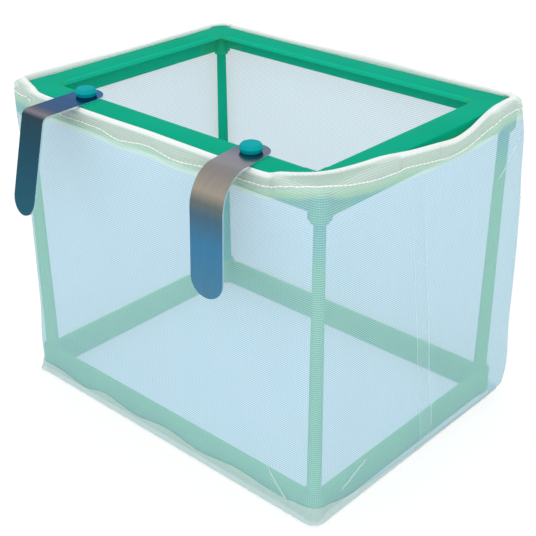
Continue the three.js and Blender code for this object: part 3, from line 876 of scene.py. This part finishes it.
def wall_column(u):
    """A column's points, and how far below the elastic and below the stitches each one lies."""
    points = []
    for j in range(WALL_ROWS):
        z = FOOT + (WALL_TOP - FOOT) * j / WALL_ROWS
        place, normal = on_bag(u, z)
        free = smooth_step(z / 14) * 0.8 + 0.2
        points.append(place + normal * ripple(u, z, RIPPLE) * free)

    line, step, casing, normal = hem_line(u)
    outer, inner, below = [], [], [FAR_BELOW] * WALL_ROWS
    for k, p in enumerate(line):
        away = (HEM_ROWS - k) * step
        swell = smooth_step((casing - away) / 2.5) * ROUND_ELASTIC
        gather = GATHER * math.sin(u * GATHERS) * smooth_step((casing - away) / 3)
        face = facing(line, k, normal)
        below.append(away)
        outer.append(p + face * (swell + gather))
        inner.append(p - face * (PLY_GAP + swell * 0.9))

    top, face = line[-1], facing(line, HEM_ROWS, normal)
    forward = (line[-1] - line[-2]).normalized()
    fold = []
    for k in range(1, FOLD_ROWS):
        angle = math.pi * k / FOLD_ROWS
        fold.append(top + face * ROUND_ELASTIC * math.cos(angle)
                    + forward * ROUND_ELASTIC * math.sin(angle))

    reach = (casing + PLY_BEYOND) / step
    ply = [between(inner, HEM_ROWS - min(reach, HEM_ROWS - 1e-6) * k / PLY_ROWS)
           for k in range(PLY_ROWS + 1)]
    below += [0.0] * len(fold) + [reach * step * k / PLY_ROWS for k in range(PLY_ROWS + 1)]
    broader = 1 + 1.2 * crossing(top)[1]
    return (points + outer + fold + ply, [away / broader for away in below],
            [away - casing for away in below])


rows = WALL_ROWS + HEM_ROWS + FOLD_ROWS + PLY_ROWS
net_wall = laid("net_wall", 560, rows, wall_column, net_hemmed, AROUND - CUT_GAP,
                marks=("from_elastic", "from_stitch"))
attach(net_wall, "bag")
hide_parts("net_wall_front", "net_wall_right", "net_wall_back", "net_wall_left", "net_hem")

# %% [markdown]
# ## The elastic cord
# The white cord shows through the casing as the bag's bright rim. A closed curve with a round bevel
# follows the mouth, and is then made a mesh, so that it can be joined to the bag like the rest.

# %% Yarns and the elastic
CORD_POINTS = 420


def cotton(name, tones, scale):
    """Twisted white yarn."""
    material, tree, shader = new_material(name)
    place = add(tree, "ShaderNodeTexCoord").outputs["Object"]
    fuzz = speckle(tree, place, scale, 3.0)["Fac"]
    plug(tree, shader, {"Base Color": blended(tree, fuzz, colour(tones[0]), colour(tones[1])),
                        "Normal": bump(tree, fuzz, 0.4, 0.0001),
                        "Roughness": 0.7, "Sheen Weight": 0.3})
    return material


def cord_round(name, place, radius, material):
    """A closed round cord through place(u), made a mesh."""
    line = bpy.data.curves.new(name, "CURVE")
    line.dimensions, line.bevel_depth, line.bevel_resolution = "3D", radius * MM, 2
    run = line.splines.new("POLY")
    run.points.add(CORD_POINTS - 1)
    run.use_cyclic_u = True
    for k in range(CORD_POINTS):
        run.points[k].co = (*(place(AROUND * k / CORD_POINTS) * MM), 1)
    shown = bpy.data.objects.new(name + "_line", line)
    bpy.context.scene.collection.objects.link(shown)
    bpy.context.view_layer.update()
    mesh = bpy.data.meshes.new_from_object(
        shown.evaluated_get(bpy.context.evaluated_depsgraph_get()))
    bpy.data.objects.remove(shown)
    cord = bmesh.new()
    cord.from_mesh(mesh)
    bpy.data.meshes.remove(mesh)
    return made(name, cord, material)


yarn_white = cotton("yarn_white", ("#eef3f1", "#fbfdfc"), 3000)
elastic_white = cotton("elastic_white", ("#e9f3f2", "#f8fcfc"), 2200)
elastic = cord_round("elastic", mouth, ELASTIC, elastic_white)
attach(elastic, "bag")
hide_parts("elastic_cord")

# %% [markdown]
# ## The hem's stitches
# Below the elastic a line of machine stitches closes the casing. A drawn line would look printed.
# So each stitch is a small bead of thread, stretched along the hem and bedded in the cloth, which
# is what makes a sewn line look sewn.

# %% Stitches
STITCH = 2.2  # mm from stitch to stitch
STITCH_SIZE = (STITCH * 0.62, 0.3, 0.26)  # mm, half of its length, width and height
STITCH_LIFT = 0.2  # mm


def stitch_place(u):
    """Where the stitch line runs on the outer ply, and the way the cloth faces there."""
    line, step, casing, normal = hem_line(u)
    spot = max(HEM_ROWS - casing / step, 0)
    return between(line, spot), facing(line, min(int(spot), HEM_ROWS - 1), normal)


thread = bmesh.new()
count = round(AROUND / STITCH)
for k in range(count):
    u = AROUND * k / count
    here, face = stitch_place(u)
    ahead, _ = stitch_place(u + 1.0)
    way = (ahead - here).normalized()
    across = face.cross(way).normalized()
    face = way.cross(across).normalized()
    turned = Matrix((way, across, face)).transposed().to_4x4()
    placed = Matrix.Translation((here + face * STITCH_LIFT) * MM) @ turned
    bmesh.ops.create_uvsphere(thread, u_segments=6, v_segments=5, radius=MM,
                              matrix=placed @ Matrix.Diagonal((*STITCH_SIZE, 1)))
stitches = made("hem_stitches", thread, yarn_white)
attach(stitches, "bag")

# %% [markdown]
# ## The floor of the bag
# The floor is a second piece of net, sewn to the wall round its edge. It also starts as a flat
# grid. The points that fall outside the bag's round corners are drawn in to them, and a little
# unevenness is left in, because the cloth lies loose on whatever it stands on.

# %% Floor of net
LIE, UNEVEN, UNEVEN_WAVE = 0.22, 0.12, 24  # mm: height, unevenness and its breadth

cloth = bmesh.new()
uv = cloth.loops.layers.uv.new("UVMap")
bmesh.ops.create_grid(cloth, x_segments=110, y_segments=84, size=1)
half_x, half_y = POST_X + TURN, POST_Y + TURN
for vert in cloth.verts:
    x, y = vert.co.x * half_x, vert.co.y * half_y
    far = Vector((max(abs(x) - POST_X, 0), max(abs(y) - POST_Y, 0)))
    if far.length > TURN:
        far = far.normalized() * TURN
        x = math.copysign(POST_X + far.x, x)
        y = math.copysign(POST_Y + far.y, y)
    lie = LIE + UNEVEN * noise.noise(Vector((x / UNEVEN_WAVE, y / UNEVEN_WAVE, 0)))
    vert.co = Vector((x, y, lie)) * MM
for face in cloth.faces:
    for loop in face.loops:
        loop[uv].uv = loop.vert.co.xy
net_base = made("net_base", cloth, net_blue)
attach(net_base, "bag")
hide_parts("net_floor")

# %% [markdown]
# ## The side seam
# Where two plies of net lie together the haze is denser, and that is what the eye reads as a seam
# or a fold. So each is a real extra ply, and not a line in the material. The first is the lapped
# seam down the right side, which leans forward as it rises.

# %% Lapped side seam
SEAM_WIDTH, SEAM_ROWS = 7.2, 40
SEAM_FOOT, SEAM_OUT = 0.6, 0.28  # mm
SEAM_LEAN = [(0, 6.8), (12, 6.2), (51.5, 1.9), (131, -7.0)]  # (height, y) of its far edge


def seam_column(v):
    """One line of the seam from the foot to the hem; v runs over its width."""
    points = []
    for j in range(SEAM_ROWS + 1):
        z = SEAM_FOOT + (WALL_TOP - SEAM_FOOT) * j / SEAM_ROWS
        y = keyed(SEAM_LEAN, z) - SEAM_WIDTH + v
        place, normal = on_bag(along("right", y), z, SEAM_OUT)
        points.append(place + normal * ripple(along("right", place.y), z, RIPPLE))
    return points


net_seam = laid("net_seam", 8, SEAM_ROWS, seam_column, net_lap, SEAM_WIDTH)
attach(net_seam, "bag")

# %% [markdown]
# ## Creases
# The net keeps a few pinched folds, and the seam's edges stand up a little. Each is a slim strip of
# cloth, raised to a ridge along a line drawn on the wall, and it fades out at both ends. A bump in
# the material would vanish in a cloth that is half clear.

# %% Ridges of cloth
RIDGE_STEP, RIDGE_OUT = 1.2, 0.34  # mm
FADE = 0.2  # share of the ridge's length that each end fades over


def ridge(name, side, route, width, rise_by):
    """A pinched fold along a route of places on a side, with its width and its rise in mm."""
    route, spots = [side(*place) for place in route], []
    for (ua, za), (ub, zb) in zip(route, route[1:]):
        n = max(int(math.hypot(ub - ua, zb - za) / RIDGE_STEP), 2)
        spots += [(ua + (ub - ua) * i / n, za + (zb - za) * i / n) for i in range(n)]
    spots.append(route[-1])
    total = len(spots) - 1

    def column(v):
        points = []
        for j, (u, z) in enumerate(spots):
            ua, za = spots[max(j - 1, 0)]
            ub, zb = spots[min(j + 1, total)]
            run = Vector((ub - ua, zb - za)).normalized()
            fade = smooth_step(j / total / FADE) * smooth_step((total - j) / total / FADE)
            side = (v - 0.5) * width * (0.35 + 0.65 * fade)
            lift = (1 - abs(2 * v - 1)) * rise_by * fade + RIDGE_OUT
            u, z = u - run.y * side, z + run.x * side
            place, normal = on_bag(u, z, lift)
            points.append(place + normal * ripple(u % AROUND, z, RIPPLE))
        return points

    fold = laid(name, 4, total, column, net_crease, 1.0)
    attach(fold, "bag")
    return fold


def on_right(y, z):
    """A place on the right side as (u, z); u is negative before the seam, so lines may cross it."""
    return y - SEAM_Y, z


def on_front(x, z):
    return along("front", x), z


folds = [
    ridge("seam_edge_near", on_right, [(-0.4, 1), (-1.0, 12), (-5.3, 51.5), (-14.2, 130)],
          0.55, 0.25),
    ridge("seam_edge_far", on_right, [(6.8, 1), (6.2, 12), (1.9, 51.5), (-7.0, 130)], 0.7, 0.3),
    ridge("fold_upper", on_right, [(56.5, 128), (49, 119), (41, 111.6)], 0.6, 0.6),
    ridge("fold_loose", on_right, [(49.8, 113.1), (58.6, 100), (58.4, 91.7), (56.6, 81.3),
                                   (57, 58)], 0.5, 0.5),
    ridge("fold_foot_right", on_right, [(-34, 18.6), (-42, 14.6), (-50, 10.3)], 1.2, 0.6),
    ridge("fold_foot_front", on_front, [(60.8, 18.3), (66, 12), (71.9, 6)], 1.2, 0.6),
]

# %% [markdown]
# ## The turned-up foot
# Wall and floor are joined by a seam round the foot, where the net's edge is turned up outside. Its
# height is uneven, so it is given by keys as the mouth is. The seam itself is a thin cord.

# %% Turned-up foot and its seam
TURN_UP_ROWS, TURN_UP_OUT = 6, 0.4
TURN_UP_FROM = 0.3  # mm
FOOT_SEAM_Z, FOOT_SEAM_OUT, FOOT_SEAM_RADIUS = 0.42, 0.15, 0.36  # mm
TURN_UP = keys_round({
    "right": [(20, 3.0), (-46, 5.6), (-30, 4.0), (-8, 3.2)],
    "back": [(0, 3.4)],
    "left": [(0, 3.6)],
    "front": [(-70, 6.2), (-52, 4.2), (-38, 7.4), (-18, 5.2), (2, 7.8), (22, 5.8), (44, 8.2),
              (66, 7.0)],
    "front_right": [(0.5, 9.0)],
})


def foot_column(u):
    """A column of the turned-up edge, as tall as the keys say."""
    tall = keyed(TURN_UP, u % AROUND, AROUND)
    points = []
    for j in range(TURN_UP_ROWS + 1):
        z = TURN_UP_FROM + tall * j / TURN_UP_ROWS
        place, normal = on_bag(u, z, TURN_UP_OUT)
        points.append(place + normal * 0.12 * noise.noise(Vector((u / 3, z / 3, 1.5))))
    return points


def foot_line(u):
    return on_bag(u, FOOT_SEAM_Z, FOOT_SEAM_OUT)[0]


net_foot = laid("net_foot", 420, TURN_UP_ROWS, foot_column, net_seam_white, AROUND - CUT_GAP)
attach(net_foot, "bag")
foot_seam = cord_round("foot_seam", foot_line, FOOT_SEAM_RADIUS, elastic_white)
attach(foot_seam, "bag")
